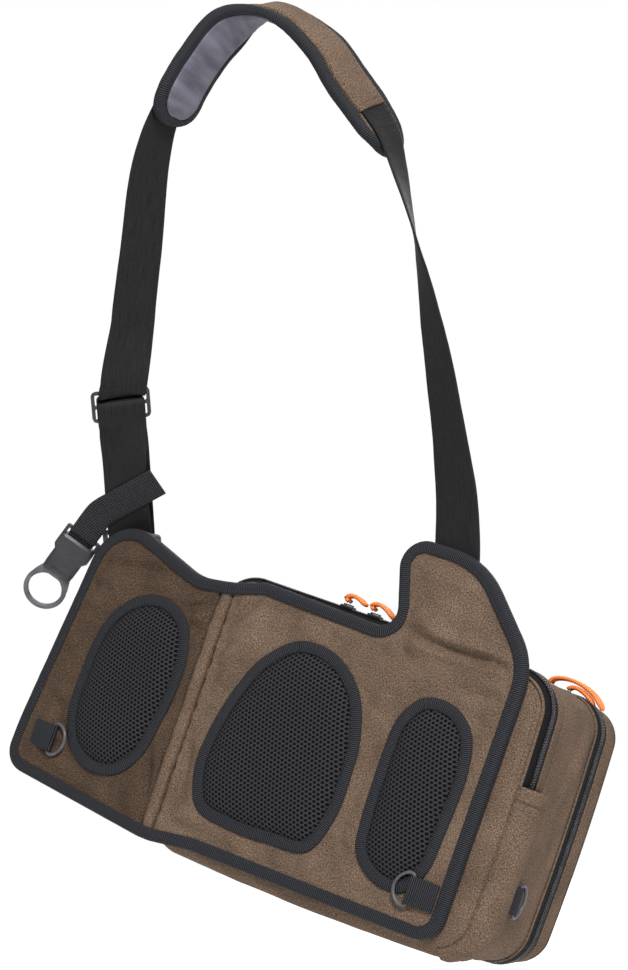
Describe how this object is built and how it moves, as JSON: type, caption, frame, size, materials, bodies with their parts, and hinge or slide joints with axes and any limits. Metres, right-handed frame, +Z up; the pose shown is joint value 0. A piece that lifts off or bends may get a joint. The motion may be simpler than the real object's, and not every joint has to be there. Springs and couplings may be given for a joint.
{
  "type": "sling bag",
  "caption": "Clamshell tackle sling bag with a padded back panel, hip wing with mesh pads, one shoulder strap with curved pad, webbing buckle and accessory ring.",
  "frame": {"origin": "under the crown of the shoulder pad, on its lining, where a shoulder or hook holds the bag up", "axes": "+Z up as the bag hangs in the picture, the padded back panel facing about -Y, the thickness of the bag about along Y, its width about along X"},
  "size_m": [0.5091, 0.2329, 0.7944],
  "materials": {
    "brown_cloth": "fine plain weave, heathered brown, matt",
    "dark_brown_cloth": "the same weave in shade at the wing",
    "black_webbing": "ribbed woven tape, matt",
    "black_mesh": "knitted spacer mesh with small oval holes",
    "slate_lining": "smooth woven lining",
    "dark_plastic": "moulded, slightly satin",
    "grey_plastic": "moulded, fine texture",
    "black_zip": "zip tape with a coil",
    "orange_cord": "braided cord"
  },
  "bodies": {
    "bag": {"rear_compartment": "brown_cloth", "main_compartment": "brown_cloth", "front_compartment": "brown_cloth", "main_zip": "black_zip", "lid_hinge": "brown_cloth", "rear_zip": "black_zip", "side_pocket": "brown_cloth", "back_panel": "brown_cloth", "left_wing": "dark_brown_cloth", "fold_strip": "dark_brown_cloth", "edge_binding": "black_webbing", "mesh_binding_left": "black_webbing", "mesh_pad_left": "black_mesh", "mesh_binding_centre": "black_webbing", "mesh_pad_centre": "black_mesh", "mesh_binding_right": "black_webbing", "mesh_pad_right": "black_mesh", "ring_tab_left": "black_webbing", "ring_tab_right": "black_webbing", "ring_tab_side": "black_webbing", "zip_slider_rear_left": "dark_plastic", "zip_slider_rear_right": "dark_plastic", "zip_slider_main_left": "dark_plastic", "zip_slider_main_right": "dark_plastic", "pull_rear_left": "orange_cord", "pull_rear_right": "orange_cord", "pull_main_left": "orange_cord", "pull_main_right": "orange_cord", "shoulder_pad": "brown_cloth", "shoulder_lining": "slate_lining", "shoulder_binding": "black_webbing", "shoulder_sleeve": "brown_cloth", "right_strap": "black_webbing", "left_strap": "black_webbing", "strap_slider": "dark_plastic", "loop_ring": "grey_plastic", "loop_tab": "black_webbing", "buckle_socket": "dark_plastic", "accessory_ring": "grey_plastic", "buckle_webbing": "black_webbing"},
    "left_d_ring": {"d_ring_left": "grey_plastic"},
    "right_d_ring": {"d_ring_right": "grey_plastic"},
    "side_d_ring": {"d_ring_side": "grey_plastic"}
  },
  "joints": [
    {"name": "left_d_ring_hinge", "type": "hinge", "parent": "bag", "child": "left_d_ring", "pos_m": [-0.20586, -0.0146, -0.59692], "axis": [-0.2706, -0.1837, -0.945], "range_deg": [0, 150]},
    {"name": "right_d_ring_hinge", "type": "hinge", "parent": "bag", "child": "right_d_ring", "pos_m": [0.14654, -0.05431, -0.69964], "axis": [0.2706, 0.1837, 0.945], "range_deg": [0, 150]},
    {"name": "side_d_ring_hinge", "type": "hinge", "parent": "bag", "child": "side_d_ring", "pos_m": [0.20982, 0.01046, -0.71236], "axis": [-0.2706, -0.1837, -0.945], "range_deg": [0, 150]}
  ]
}
